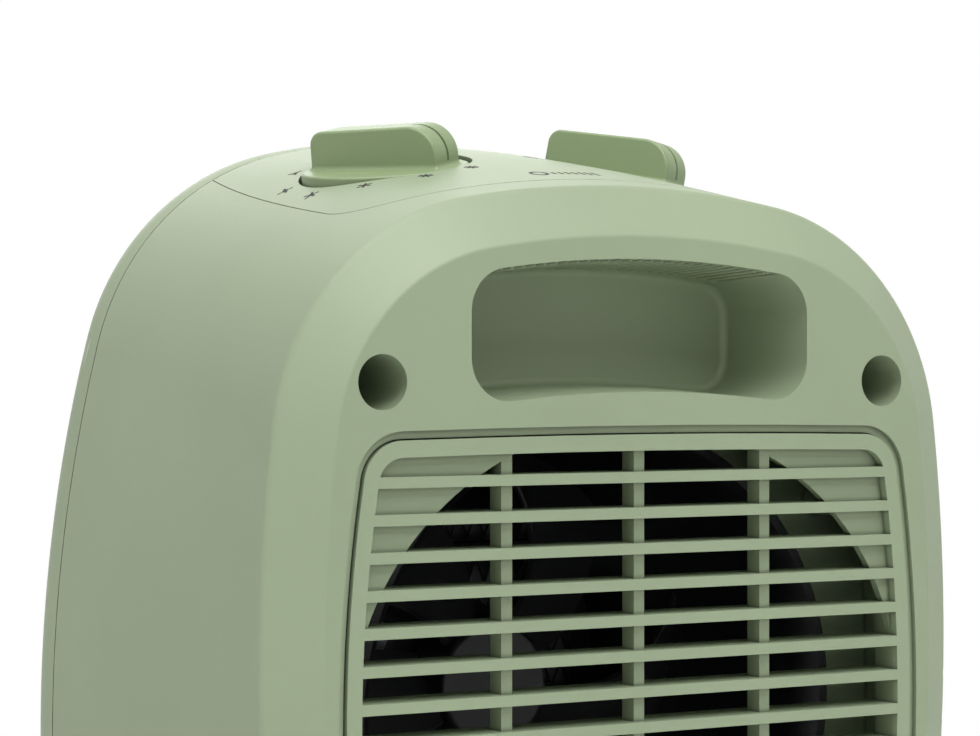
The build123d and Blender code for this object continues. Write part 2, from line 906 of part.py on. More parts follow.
# Thermostat under the first knob: a ceramic block with a bore for its shaft
control_drop = -knob_well_depth - knob_well_floor
with BuildPart() as thermostat_body:
    with BuildSketch(knob_plane(1, control_drop)):
        RectangleRounded(thermostat_length, thermostat_width, 2)
        Circle(control_shaft_radius + shaft_running_clearance, mode=Mode.SUBTRACT)
    extrude(amount=-thermostat_height)
    with BuildSketch(knob_plane(1, control_drop)):
        with Locations((control_screw_spacing / 2, 0), (-control_screw_spacing / 2, 0)):
            Circle(control_screw_radius + screw_pilot_clearance)
    extrude(amount=-control_screw_length, mode=Mode.SUBTRACT)
thermostat_body.part.label = "thermostat_body"
export_step(thermostat_body.part, "parts/thermostat_body.step")

# Contact blades of the thermostat, below its block
with BuildPart() as thermostat_blades:
    for layer in (0, 1):
        level = control_drop - thermostat_height - 2 * layer * blade_spring_thickness
        with BuildSketch(knob_plane(1, level)):
            with Locations((0, thermostat_width / 2)):
                Rectangle(blade_spring_length, blade_spring_width)
        extrude(amount=-blade_spring_thickness)
    with BuildSketch(knob_plane(1, control_drop - thermostat_height)):
        with Locations((blade_spring_length / 2 - rivet_inset, thermostat_width / 2)):
            Circle(rivet_radius)
    extrude(amount=-3 * blade_spring_thickness)
thermostat_blades.part.label = "thermostat_blades"
export_step(thermostat_blades.part, "parts/thermostat_blades.step")

# Rotary switch under the second knob
with BuildPart() as switch_body:
    with BuildSketch(knob_plane(-1, control_drop)):
        RectangleRounded(switch_size, switch_size, 3)
        Circle(control_shaft_radius + shaft_running_clearance, mode=Mode.SUBTRACT)
    extrude(amount=-switch_height)
    with BuildSketch(knob_plane(-1, control_drop)):
        with Locations((control_screw_spacing / 2, 0), (-control_screw_spacing / 2, 0)):
            Circle(control_screw_radius + screw_pilot_clearance)
    extrude(amount=-control_screw_length, mode=Mode.SUBTRACT)
switch_body.part.label = "switch_body"
export_step(switch_body.part, "parts/switch_body.step")

with BuildPart() as switch_terminals:
    with BuildSketch(knob_plane(-1, control_drop - switch_height)):
        with GridLocations(switch_size / 2, switch_size / 2, 2, 2):
            Rectangle(terminal_width, plate_thickness)
    extrude(amount=-switch_terminal_height)
switch_terminals.part.label = "switch_terminals"
export_step(switch_terminals.part, "parts/switch_terminals.step")

# Two screws through each cup's floor into the control below it
control_screw = screw(
    control_screw_radius, control_screw_head_radius, control_screw_head_height, control_screw_length
)
with BuildPart() as control_screws:
    for side in sides:
        with Locations(knob_plane(side, -knob_well_depth)):
            with Locations((control_screw_spacing / 2, 0), (-control_screw_spacing / 2, 0)):
                add(control_screw)
control_screws.part.label = "control_screws"
export_step(control_screws.part, "parts/control_screws.step")

# Rear grille: a frame, slats, three bars set back behind them, and a web and a leg in each corner
grille_edge = pocket_edge.grown(-grille_gap)
grille_opening = grille_edge.grown(-grille_frame_width)
grille_y = back_y - grille_setback
bar_y = grille_y - bar_setback
slat_count = 2 * int((grille_opening.top - fan_height - slat_thickness / 2) / slat_pitch + 0.5)
with BuildPart() as rear_grille:
    add(prism(grille_edge, grille_y, grille_frame_depth))
    add(prism(grille_opening, grille_y, bar_setback), mode=Mode.SUBTRACT)
    web_y = bar_y - web_thickness
    add(prism(grille_opening, web_y, grille_frame_depth - bar_setback - web_thickness), mode=Mode.SUBTRACT)
    with BuildSketch(across(bar_y)):
        with Locations((0, fan_height)):
            Ellipse(web_half_width, web_half_height)
        add(grille_opening.face(), mode=Mode.INTERSECT)
    extrude(amount=web_thickness, mode=Mode.SUBTRACT)
    for place in range(slat_count):
        height = fan_height + (place - (slat_count - 1) / 2) * slat_pitch
        reach = grille_opening.half_width_at(height) + grille_frame_width / 2
        with Locations((0, grille_y - slat_depth / 2, height)):
            Box(2 * reach, slat_depth, slat_thickness)
    for place in (-1, 0, 1):
        with BuildSketch(across(bar_y)):
            with Locations((place * bar_spacing, fan_height)):
                Rectangle(bar_width, 2 * (grille_opening.top - fan_height) + grille_frame_width)
        extrude(amount=bar_depth)
    # Legs behind the webs that stand on the pocket's floor
    with BuildSketch(fan_plane(web_y)):
        with Locations(*[(side * leg_x, rise * leg_rise) for side in sides for rise in sides]):
            Circle(leg_radius)
    extrude(amount=web_y - pocket_floor_y)
rear_grille.part.label = "rear_grille"
export_step(rear_grille.part, "parts/rear_grille.step")

# Front grille: a frame with slats and three bars behind them
front_edge = window_edge.grown(-grille_gap)
front_opening = front_edge.grown(-front_frame_width)
front_slat_reach = front_opening.top - fan_height - front_slat_thickness / 2
front_slat_count = 2 * int(front_slat_reach / front_slat_pitch + 0.5)
with BuildPart() as front_grille:
    add(prism(front_edge, front_y + front_grille_depth, front_grille_depth))
    add(prism(front_opening, front_y + front_grille_depth, front_grille_depth), mode=Mode.SUBTRACT)
    for place in range(front_slat_count):
        height = fan_height + (place - (front_slat_count - 1) / 2) * front_slat_pitch
        reach = front_opening.half_width_at(height) + front_frame_width / 2
        with Locations((0, front_y + front_grille_depth / 2, height)):
            Box(2 * reach, front_grille_depth, front_slat_thickness)
    for place in (-1, 0, 1):
        with BuildSketch(across(front_y + front_grille_depth)):
            with Locations((place * bar_spacing, fan_height)):
                Rectangle(front_bar_width, 2 * (front_opening.top - fan_height) + front_frame_width)
        extrude(amount=front_bar_depth)
front_grille.part.label = "front_grille"
export_step(front_grille.part, "parts/front_grille.step")

# Fan duct: a tube with lugs at the rear, a square flange at the front and a spider for the motor
spider_y = hub_rear_y - hub_length - hub_to_spider
motor_y = spider_y - spider_thickness
duct_outer = duct_radius + duct_wall
duct_lug_reach = Vector(duct_lug_x, duct_lug_height).length
flange_half_width = heater_half_width + heater_side
flange_half_height = duct_outer + flange_margin
row_height = 2 * fin_height + 2 * plate_thickness + stone_thickness
core_height = row_count * row_height
heater_screw_x = flange_half_width - heater_screw_inset
heater_screw_places = [(side * heater_screw_x, row * heater_screw_rise) for side in sides for row in sides]


def duct_form(margin):
    """The duct's bore along Z with its mouth at Z 0, flared on a tangent arc, with a margin around it."""
    length = pocket_floor_y - duct_front_y
    with BuildPart() as form:
        with BuildSketch(Plane.XZ):
            with BuildLine():
                flare_foot = (duct_radius + margin, -duct_mouth_length)
                TangentArc(flare_foot, (duct_mouth_radius + margin, 0), tangent=(0, 1))
                Polyline((duct_mouth_radius + margin, 0), (0, 0), (0, -length))
                Polyline((0, -length), (duct_radius + margin, -length), flare_foot)
            make_face()
        revolve(axis=Axis.Z)
    return form.part


with BuildPart() as fan_duct:
    with Locations(facing_back(pocket_floor_y, fan_height)):
        add(duct_form(duct_wall))
    with BuildSketch(fan_plane(duct_lug_y)):
        for place in duct_lug_places:
            lug_angle = direction(Vector(*place))
            with PolarLocations((duct_radius + duct_lug_reach) / 2, 1, start_angle=lug_angle):
                Rectangle(duct_lug_reach - duct_radius, 2 * duct_lug_radius)
            with Locations(place):
                Circle(duct_lug_radius)
        with Locations(*duct_lug_places):
            Circle(screw_radius + screw_hole_clearance, mode=Mode.SUBTRACT)
    extrude(amount=duct_flange_thickness)
    with BuildSketch(fan_plane(duct_front_y + duct_flange_thickness)):
        RectangleRounded(2 * flange_half_width, 2 * flange_half_height, flange_corner)
    extrude(amount=duct_flange_thickness)
    with BuildSketch(fan_plane(duct_front_y + heater_boss_length)):
        with Locations(*heater_screw_places):
            Circle(heater_boss_radius)
    extrude(amount=heater_boss_length)
    with BuildSketch(fan_plane(duct_front_y + heater_boss_length)):
        with Locations(*heater_screw_places):
            Circle(screw_radius + screw_pilot_clearance)
    extrude(amount=heater_boss_length, mode=Mode.SUBTRACT)
    with Locations(facing_back(pocket_floor_y, fan_height)):
        add(duct_form(0), mode=Mode.SUBTRACT)
    # Spider
    with BuildSketch(fan_plane(spider_y)):
        Circle(spider_radius)
        with PolarLocations((spider_radius + duct_radius) / 2, spider_arm_count, start_angle=45):
            Rectangle(duct_radius - spider_radius + 2 * duct_wall, spider_arm_width)
        Circle(motor_boss_radius + screw_pilot_clearance, mode=Mode.SUBTRACT)
        with PolarLocations(motor_screw_circle, 2):
            Circle(motor_screw_radius + screw_hole_clearance, mode=Mode.SUBTRACT)
    extrude(amount=spider_thickness)
fan_duct.part.label = "fan_duct"
export_step(fan_duct.part, "parts/fan_duct.step")


def blade():
    """One sickle blade in the rotor's frame: lofted from inside the hub past its tip, then trimmed."""
    rotor_radius = duct_radius - blade_tip_gap
    root = hub_radius - hub_wall / 2
    tip = rotor_radius + 3 * blade_tip_gap
    with BuildPart() as piece:
        for station in range(blade_stations):
            share = station / (blade_stations - 1)
            radius = root + share * (tip - root)
            reach = max(0.0, (radius - hub_radius) / (rotor_radius - hub_radius))
            turn = Vector(1, 0).rotate(Axis.Z, blade_sweep * reach**blade_sweep_power)
            aside = turn.rotate(Axis.Z, 90)
            pitch = radians(blade_root_pitch + share * (blade_tip_pitch - blade_root_pitch))
            chord_line = aside * cos(pitch) + Vector(0, 0, sin(pitch))
            centre = turn * radius + Vector(0, 0, -hub_length / 2)
            with BuildSketch(Plane(origin=centre, x_dir=chord_line, z_dir=turn)):
                Rectangle(blade_root_chord + share * (blade_tip_chord - blade_root_chord), blade_thickness)
        loft()
        with BuildSketch(Plane.XY.offset(-hub_length)):
            Circle(rotor_radius)
        extrude(amount=hub_length, mode=Mode.INTERSECT)
    return piece.part


# Fan rotor: a cup-shaped hub with its cap to the rear, and sickle blades swept counter-clockwise
with BuildPart(facing_back(hub_rear_y, fan_height)) as fan_rotor:
    with BuildSketch(facing_back(hub_rear_y, fan_height)):
        Circle(hub_radius)
    extrude(amount=-hub_length)
    fillet(fan_rotor.edges().group_by(Axis.Y)[-1], hub_edge_rounding)
    with PolarLocations(0, blade_count, start_angle=blade_start_angle):
        add(blade())
    with BuildSketch(facing_back(hub_rear_y - hub_wall, fan_height)):
        Circle(hub_radius - hub_wall)
        Circle(hub_socket_radius, mode=Mode.SUBTRACT)
    extrude(amount=hub_wall - hub_length, mode=Mode.SUBTRACT)
    with BuildSketch(facing_back(hub_rear_y - hub_wall, fan_height)):
        Circle(shaft_radius)
    extrude(amount=hub_wall - hub_length, mode=Mode.SUBTRACT)
fan_rotor.part.label = "fan_rotor"
export_step(fan_rotor.part, "parts/fan_rotor.step")

# Motor: a can with its flange to the spider, two magnets, an armature on the shaft, an end cap
motor_front_y = motor_y - motor_length
with BuildPart() as motor_can:
    with BuildSketch(fan_plane(motor_y)):
        Circle(motor_radius)
    extrude(amount=motor_length)
    with BuildSketch(fan_plane(motor_y + motor_boss_length)):
        Circle(motor_boss_radius)
    extrude(amount=motor_boss_length)
    with BuildSketch(fan_plane(motor_y - motor_face)):
        Circle(motor_radius - motor_wall)
    extrude(amount=motor_length, mode=Mode.SUBTRACT)
    with BuildSketch(fan_plane(motor_y + motor_boss_length)):
        Circle(bush_radius)
    extrude(amount=motor_boss_length + motor_face, mode=Mode.SUBTRACT)
    with BuildSketch(fan_plane(motor_y)):
        with PolarLocations(motor_screw_circle, 2):
            Circle(motor_screw_radius + screw_pilot_clearance)
    extrude(amount=motor_face, mode=Mode.SUBTRACT)
motor_can.part.label = "motor_can"
export_step(motor_can.part, "parts/motor_can.step")

with BuildPart() as motor_end_cap:
    with BuildSketch(fan_plane(motor_front_y)):
        Circle(motor_radius)
        Circle(bush_radius, mode=Mode.SUBTRACT)
    extrude(amount=motor_cap_thickness)
motor_end_cap.part.label = "motor_end_cap"
export_step(motor_end_cap.part, "parts/motor_end_cap.step")

with BuildPart() as motor_bushes:
    for rear in (motor_y + motor_boss_length, motor_front_y - motor_cap_thickness + bush_length):
        with BuildSketch(fan_plane(rear)):
            Circle(bush_radius)
            Circle(shaft_radius + shaft_running_clearance, mode=Mode.SUBTRACT)
        extrude(amount=bush_length)
motor_bushes.part.label = "motor_bushes"
export_step(motor_bushes.part, "parts/motor_bushes.step")

magnet_radius = motor_radius - motor_wall
magnet_slot = 2 * magnet_radius * sin(radians(90 - magnet_angle / 2))
magnet_y = motor_y - motor_face - (motor_length - motor_face - magnet_length) / 2
with BuildPart() as motor_magnets:
    with BuildSketch(fan_plane(magnet_y)):
        Circle(magnet_radius)
        Circle(magnet_radius - magnet_thickness, mode=Mode.SUBTRACT)
        Rectangle(magnet_slot, 2 * motor_radius, mode=Mode.SUBTRACT)
    extrude(amount=magnet_length)
motor_magnets.part.label = "motor_magnets"
export_step(motor_magnets.part, "parts/motor_magnets.step")

with BuildPart() as motor_armature:
    with BuildSketch(fan_plane(magnet_y - (magnet_length - armature_length) / 2)):
        Circle(magnet_radius - magnet_thickness - air_gap)
        Circle(shaft_radius, mode=Mode.SUBTRACT)
    extrude(amount=armature_length)
motor_armature.part.label = "motor_armature"
export_step(motor_armature.part, "parts/motor_armature.step")

shaft_rear_y = hub_rear_y - hub_wall
shaft_front_y = motor_front_y - motor_cap_thickness
with BuildPart() as motor_shaft:
    with BuildSketch(fan_plane(shaft_rear_y)):
        Circle(shaft_radius)
    extrude(amount=shaft_rear_y - shaft_front_y)
motor_shaft.part.label = "motor_shaft"
export_step(motor_shaft.part, "parts/motor_shaft.step")

# Heater frame, screwed to the duct's flange, with slots for the terminals in its sides
core_y = duct_front_y - heater_depth / 2
row_heights = [(row - (row_count - 1) / 2) * row_height for row in range(row_count)]
plate_rise = (stone_thickness + plate_thickness) / 2
fin_rise = plate_rise + (plate_thickness + fin_height) / 2
with BuildPart() as heater_frame:
    with BuildSketch(fan_plane(duct_front_y)):
        RectangleRounded(2 * flange_half_width, 2 * flange_half_height, flange_corner)
        Rectangle(2 * (heater_half_width + heater_fit), core_height + 2 * heater_fit, mode=Mode.SUBTRACT)
        with Locations(*heater_screw_places):
            Circle(screw_radius + screw_hole_clearance, mode=Mode.SUBTRACT)
    extrude(amount=heater_depth)
    for side in sides:
        for height in row_heights:
            slot_x = side * (heater_half_width + heater_side / 2)
            with Locations((slot_x, core_y, fan_height + height + side * plate_rise)):
                Box(
                    heater_side + 2 * heater_fit,
                    terminal_width + 2 * heater_fit,
                    plate_thickness + 2 * heater_fit,
                    mode=Mode.SUBTRACT,
                )
heater_frame.part.label = "heater_frame"
export_step(heater_frame.part, "parts/heater_frame.step")

# Folded aluminium fins, two strips to a row
fold_count = 2 * round(heater_half_width / (fin_pitch / 2))
fold_length = 2 * heater_half_width / fold_count
fold_rise = (fin_height - fin_thickness) / 2
fold_line = [
    Vector(fold * fold_length - heater_half_width, fold_rise if fold % 2 else -fold_rise)
    for fold in range(fold_count + 1)
]
skin_step = Vector(0, fin_thickness / 2)
fold_edge = [point + skin_step for point in fold_line] + [point - skin_step for point in reversed(fold_line)]
with BuildPart() as heater_fins:
    with BuildSketch(fan_plane(core_y + fin_depth / 2)):
        for height in row_heights:
            with Locations((0, height + fin_rise), (0, height - fin_rise)):
                Polygon(*fold_edge, align=None)
    extrude(amount=fin_depth)
heater_fins.part.label = "heater_fins"
export_step(heater_fins.part, "parts/heater_fins.step")

with BuildPart() as ceramic_stones:
    with BuildSketch(fan_plane(core_y + fin_depth / 2)):
        with GridLocations(2 * heater_half_width / stones_per_row, row_height, stones_per_row, row_count):
            Rectangle(stone_length, stone_thickness)
    extrude(amount=fin_depth)
ceramic_stones.part.label = "ceramic_stones"
export_step(ceramic_stones.part, "parts/ceramic_stones.step")

# Electrode plates above and below each row of stones, each with a terminal through the frame
with BuildPart() as electrode_plates:
    for side in sides:
        tab_length = heater_side + terminal_reach + terminal_root
        tab_x = side * (heater_half_width + heater_side + terminal_reach - tab_length / 2)
        for height in row_heights:
            level = fan_height + height + side * plate_rise
            with Locations((0, core_y, level)):
                Box(2 * heater_half_width, fin_depth, plate_thickness)
            with Locations((tab_x, core_y, level)):
                Box(tab_length, terminal_width, plate_thickness)
electrode_plates.part.label = "electrode_plates"
export_step(electrode_plates.part, "parts/electrode_plates.step")

# Thermal cut-out and thermal fuse on top of the heater frame
heater_top = fan_height + flange_half_height
with BuildPart() as thermal_cutout:
    with BuildSketch(Plane.XY.offset(heater_top)):
        with Locations((cutout_x, core_y)):
            Circle(cutout_radius)
    extrude(amount=cutout_height)
    with BuildSketch(Plane.XY.offset(heater_top + cutout_height)):
        with Locations((cutout_x - cutout_radius / 2, core_y), (cutout_x + cutout_radius / 2, core_y)):
            Rectangle(plate_thickness, terminal_width)
    extrude(amount=switch_terminal_height)
thermal_cutout.part.label = "thermal_cutout"
export_step(thermal_cutout.part, "parts/thermal_cutout.step")

with BuildPart() as thermal_fuse:
    with BuildSketch(Plane.YZ.offset(fuse_x - fuse_length / 2)):
        with Locations((core_y, heater_top + fuse_radius)):
            Circle(fuse_radius)
    extrude(amount=fuse_length)
    with BuildSketch(Plane.YZ.offset(fuse_x - fuse_length)):
        with Locations((core_y, heater_top + fuse_radius)):
            Circle(fuse_lead_radius)
    extrude(amount=2 * fuse_length)
thermal_fuse.part.label = "thermal_fuse"
export_step(thermal_fuse.part, "parts/thermal_fuse.step")

# Screws
housing_screw = screw(screw_radius, screw_head_radius, screw_head_height, well_floor + housing_screw_grip)
with BuildPart(facing_back(well_floor_y)) as housing_screws:
    with Locations(*housing_screw_places):
        add(housing_screw)
housing_screws.part.label = "housing_screws"
export_step(housing_screws.part, "parts/housing_screws.step")

duct_screw_length = duct_flange_thickness + duct_boss_length - screw_hole_clearance
duct_screw = screw(screw_radius, screw_head_radius, screw_head_height, duct_screw_length)
with BuildPart(fan_plane(duct_lug_y - duct_flange_thickness)) as duct_screws:
    with Locations(*duct_lug_places):
        add(duct_screw)
duct_screws.part.label = "duct_screws"
export_step(duct_screws.part, "parts/duct_screws.step")

heater_screw_length = heater_depth + heater_boss_length - screw_hole_clearance
heater_screw = screw(screw_radius, screw_head_radius, screw_head_height, heater_screw_length)
with BuildPart(fan_plane(duct_front_y - heater_depth)) as heater_screws:
    with Locations(*heater_screw_places):
        add(heater_screw)
heater_screws.part.label = "heater_screws"
export_step(heater_screws.part, "parts/heater_screws.step")

motor_screw_length = spider_thickness + motor_face - screw_hole_clearance
motor_screw = screw(motor_screw_radius, 2 * motor_screw_radius, motor_screw_radius, motor_screw_length)
with BuildPart(facing_back(spider_y, fan_height)) as motor_screws:
    with PolarLocations(motor_screw_circle, 2):
        add(motor_screw)
motor_screws.part.label = "motor_screws"
export_step(motor_screws.part, "parts/motor_screws.step")

# Base plate, flush with the underside, and its screws driven from below
with BuildPart() as base_plate:
    with BuildSketch(plate_plane(underside)):
        RectangleRounded(plate_length - 2 * plate_gap, plate_width - 2 * plate_gap, plate_corner - plate_gap)
        with Locations(*base_screw_places):
            Circle(screw_radius + screw_hole_clearance, mode=Mode.SUBTRACT)
    extrude(amount=wall)
    with BuildSketch(plate_plane(underside)):
        with Locations(*base_screw_places):
            Circle(screw_head_radius + screw_hole_clearance)
    extrude(amount=screw_head_height, mode=Mode.SUBTRACT)
    with BuildSketch(Plane.XY.offset(underside)):
        with Locations((tip_x, tip_y)):
            Circle(tip_stem_radius + screw_hole_clearance)
    extrude(amount=wall, mode=Mode.SUBTRACT)
base_plate.part.label = "base_plate"
export_step(base_plate.part, "parts/base_plate.step")

base_seat = Plane(origin=(0, plate_y, underside + screw_head_height), x_dir=(1, 0, 0), z_dir=(0, 0, -1))
base_screw_length = base_boss_height - screw_head_height - screw_hole_clearance
base_screw = screw(screw_radius, screw_head_radius, screw_head_height, base_screw_length)
with BuildPart(base_seat) as base_screws:
    with Locations(*base_screw_places):
        add(base_screw)
base_screws.part.label = "base_screws"
export_step(base_screws.part, "parts/base_screws.step")

with BuildPart() as rubber_feet:
    with BuildSketch():
        with Locations(*foot_places):
            Circle(foot_radius)
    extrude(amount=underside + foot_recess)
    chamfer(rubber_feet.edges().group_by(Axis.Z)[0], foot_bevel)
rubber_feet.part.label = "rubber_feet"
export_step(rubber_feet.part, "parts/rubber_feet.step")

# Tip-over switch: a spring pushes its plunger out through the base when the heater is lifted
tip_chamber_floor = plate_top + tip_floor
tip_chamber_roof = plate_top + tip_body_height - tip_roof
tip_collar_foot = tip_chamber_floor + tip_travel + tip_clearance
tip_collar_top = tip_collar_foot + tip_collar_height


def tip_plane(height):
    """Level drawing plane at a height, centred on the tip-over plunger."""
    return Plane(origin=(tip_x, tip_y, height), x_dir=(1, 0, 0), z_dir=(0, 0, 1))


with BuildPart() as tip_switch_body:
    with BuildSketch(tip_plane(plate_top)):
        RectangleRounded(tip_body_size, tip_body_size, tip_body_corner)
        Circle(tip_stem_radius + tip_clearance, mode=Mode.SUBTRACT)
    extrude(amount=tip_floor)
    with BuildSketch(tip_plane(tip_chamber_floor)):
        RectangleRounded(tip_body_size, tip_body_size, tip_body_corner)
        Circle(tip_collar_radius + tip_clearance, mode=Mode.SUBTRACT)
    extrude(amount=tip_chamber_roof - tip_chamber_floor)
    with BuildSketch(tip_plane(tip_chamber_roof)):
        RectangleRounded(tip_body_size, tip_body_size, tip_body_corner)
        Circle(tip_pin_radius + tip_clearance, mode=Mode.SUBTRACT)
    extrude(amount=tip_roof)
tip_switch_body.part.label = "tip_switch_body"
export_step(tip_switch_body.part, "parts/tip_switch_body.step")

with BuildPart() as tip_plunger:
    with BuildSketch(tip_plane(0)):
        Circle(tip_stem_radius)
    extrude(amount=tip_collar_top)
    chamfer(tip_plunger.edges().group_by(Axis.Z)[0], foot_bevel)
    with BuildSketch(tip_plane(tip_collar_foot)):
        Circle(tip_collar_radius)
    extrude(amount=tip_collar_height)
    with BuildSketch(tip_plane(tip_collar_top)):
        Circle(tip_pin_radius)
    extrude(amount=tip_chamber_roof + tip_roof + tip_travel - tip_collar_top)
tip_plunger.part.label = "tip_plunger"
export_step(tip_plunger.part, "parts/tip_plunger.step")

spring_height = tip_chamber_roof - tip_collar_top - 2 * spring_wire_radius
spring_radius = (tip_pin_radius + tip_collar_radius) / 2
with BuildPart() as tip_spring:
    with BuildLine(tip_plane(tip_collar_top + spring_wire_radius)) as coil:
        Helix(spring_height / spring_turns, spring_height, spring_radius)
    with BuildSketch(coil.line ^ 0):
        Circle(spring_wire_radius)
    sweep(path=coil.line, is_frenet=True)
tip_spring.part.label = "tip_spring"
export_step(tip_spring.part, "parts/tip_spring.step")

# Bush of the cord inlet, snapped into the back wall
with BuildPart() as cord_bush:
    with BuildSketch(across(back_y)):
        with Locations((0, inlet_height)):
            Circle(inlet_flange_radius)
    extrude(amount=inlet_flange_thickness)
    with BuildSketch(across(back_y - inlet_flange_thickness)):
        with Locations((0, inlet_height)):
            Circle(inlet_radius)
    extrude(amount=wall - inlet_flange_thickness + inlet_clip_height)
    with BuildSketch(across(back_y - wall)):
        with Locations((0, inlet_height)):
            Circle(inlet_clip_radius)
    extrude(amount=inlet_clip_height)
    with BuildSketch(across(back_y)):
        with Locations((0, inlet_height)):
            Circle(inlet_bore_radius)
    extrude(amount=wall + inlet_clip_height, mode=Mode.SUBTRACT)
cord_bush.part.label = "cord_bush"
export_step(cord_bush.part, "parts/cord_bush.step")
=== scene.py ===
"""Looks of a ceramic fan heater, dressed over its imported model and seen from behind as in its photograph."""

import logging
import math
from dataclasses import dataclass, field
from enum import Enum
from typing import Any

import bmesh
import bpy
from mathutils import Matrix, Vector
from mathutils.bvhtree import BVHTree


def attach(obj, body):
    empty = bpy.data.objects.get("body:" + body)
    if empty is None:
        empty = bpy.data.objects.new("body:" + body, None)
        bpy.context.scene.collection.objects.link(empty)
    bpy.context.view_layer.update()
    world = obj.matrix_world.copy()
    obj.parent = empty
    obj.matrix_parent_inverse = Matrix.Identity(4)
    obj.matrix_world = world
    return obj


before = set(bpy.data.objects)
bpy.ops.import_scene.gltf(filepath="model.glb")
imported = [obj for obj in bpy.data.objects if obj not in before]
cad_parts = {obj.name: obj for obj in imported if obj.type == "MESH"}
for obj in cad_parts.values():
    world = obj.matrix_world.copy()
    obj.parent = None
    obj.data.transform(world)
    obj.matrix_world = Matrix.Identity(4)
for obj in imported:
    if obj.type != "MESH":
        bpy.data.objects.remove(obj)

log = logging.getLogger("heater")

WHITE = (1.0, 1.0, 1.0, 1.0)
# Most of a noise texture's values lie between these
NOISE_LOW = 0.3
NOISE_HIGH = 0.7


class Body(Enum):
    """The bodies of the heater that pieces ride on."""

    CASING = "casing"
    ROTOR = "rotor"
    THERMOSTAT = "thermostat_control"
    MODE = "mode_control"
    TIP_PLUNGER = "tip_plunger"


def mm(length: float) -> float:
    """A length in millimetres as metres."""
    return length / 1000.0


def per_mm(length: float) -> float:
    """The scale of a texture whose features are this many millimetres across."""
    return 1000.0 / length


def colour(code: str) -> tuple[float, float, float, float]:
    """Turn an sRGB hex colour to a linear one.

    Args:
        code: six hex digits after a hash sign.

    Returns:
        Linear red, green and blue, and an alpha of 1.
    """
    levels = [int(code[i:i + 2], 16) / 255 for i in (1, 3, 5)]
    linear = [v / 12.92 if v <= 0.04045 else ((v + 0.055) / 1.055) ** 2.4 for v in levels]
    return linear[0], linear[1], linear[2], 1.0


def add_node(
    tree: bpy.types.NodeTree,
    kind: str,
    settings: dict[str | int, Any] | None = None,
    links: dict[str | int, bpy.types.NodeSocket] | None = None,
) -> bpy.types.Node:
    """Add one node with its settings and links.

    Args:
        tree: the node tree it goes into.
        kind: the node's type name.
        settings: properties of the node, or default values of its sockets, by name or number.
        links: sockets that feed its inputs, by the input's name or number.

    Returns:
        The new node.
    """
    node = tree.nodes.new(kind)
    for key, value in (settings or {}).items():
        if isinstance(key, str) and hasattr(node, key):
            setattr(node, key, value)
        else:
            node.inputs[key].default_value = value
    for key, socket in (links or {}).items():
        tree.links.new(socket, node.inputs[key])
    return node


@dataclass(frozen=True)
class MouldedPlastic:
    """Injection-moulded plastic, whose tool's spark-eroded grain scatters the highlight into a soft sheen.

    Lengths are in mm. The seam's shade is painted shade: how much darker the colour is made in a closed-in
    corner, and its reach how near the walls of such a corner stand.
    """

    name: str
    tint: str
    roughness: float = 0.5
    grain_size: float = 0.45
    grain_height: float = 0.012
    polish_drift: float = 0.05
    drift: float = 0.035
    drift_size: float = 60.0
    seam_shade: float = 0.0
    seam_reach: float = 1.0
    ior: float = 1.53

    def make(self) -> bpy.types.Material:
        """Build the material.

        Returns:
            The material, with grain in mm on Object coordinates.
        """
        material = bpy.data.materials.new(self.name)
        material.use_nodes = True
        tree = material.node_tree
        shader = tree.nodes["Principled BSDF"]
        place = add_node(tree, "ShaderNodeTexCoord").outputs["Object"]
        # Slow change of shade, as melt cools unevenly behind thick and thin walls
        cloud = add_node(
            tree, "ShaderNodeTexNoise", {"Scale": per_mm(self.drift_size), "Detail": 2.0}, {"Vector": place}
        )
        shade = add_node(
            tree,
            "ShaderNodeMapRange",
            {
                "From Min": NOISE_LOW,
                "From Max": NOISE_HIGH,
                "To Min": 1.0 - self.drift,
                "To Max": 1.0 + self.drift,
            },
            {"Value": cloud.outputs["Fac"]},
        )
        tinted = add_node(
            tree,
            "ShaderNodeVectorMath",
            {"operation": "SCALE", 0: colour(self.tint)[:3]},
            {"Scale": shade.outputs["Result"]},
        )
        # Painted shade: the colour is darkened along seams and in closed-in corners by ambient occlusion,
        # where shadow gathers
        corner = add_node(tree, "ShaderNodeAmbientOcclusion", {"samples": 8, "Distance": mm(self.seam_reach)})
        painted_corner_shade = add_node(
            tree,
            "ShaderNodeMapRange",
            {"To Min": 1.0 - self.seam_shade, "To Max": 1.0},
            {"Value": corner.outputs["AO"]},
        )
        shaded = add_node(
            tree,
            "ShaderNodeVectorMath",
            {"operation": "SCALE"},
            {0: tinted.outputs["Vector"], "Scale": painted_corner_shade.outputs["Result"]},
        )
        tree.links.new(shaded.outputs["Vector"], shader.inputs["Base Color"])
        grain = add_node(
            tree, "ShaderNodeTexNoise", {"Scale": per_mm(self.grain_size), "Detail": 3.0}, {"Vector": place}
        )
        bump = add_node(
            tree,
            "ShaderNodeBump",
            {"Strength": 1.0, "Distance": mm(self.grain_height)},
            {"Height": grain.outputs["Fac"]},
        )
        tree.links.new(bump.outputs["Normal"], shader.inputs["Normal"])
        polish = add_node(
            tree,
            "ShaderNodeMapRange",
            {
                "From Min": NOISE_LOW,
                "From Max": NOISE_HIGH,
                "To Min": self.roughness - self.polish_drift,
                "To Max": self.roughness + self.polish_drift,
            },
            {"Value": grain.outputs["Fac"]},
        )
        tree.links.new(polish.outputs["Result"], shader.inputs["Roughness"])
        shader.inputs["IOR"].default_value = self.ior
        return material


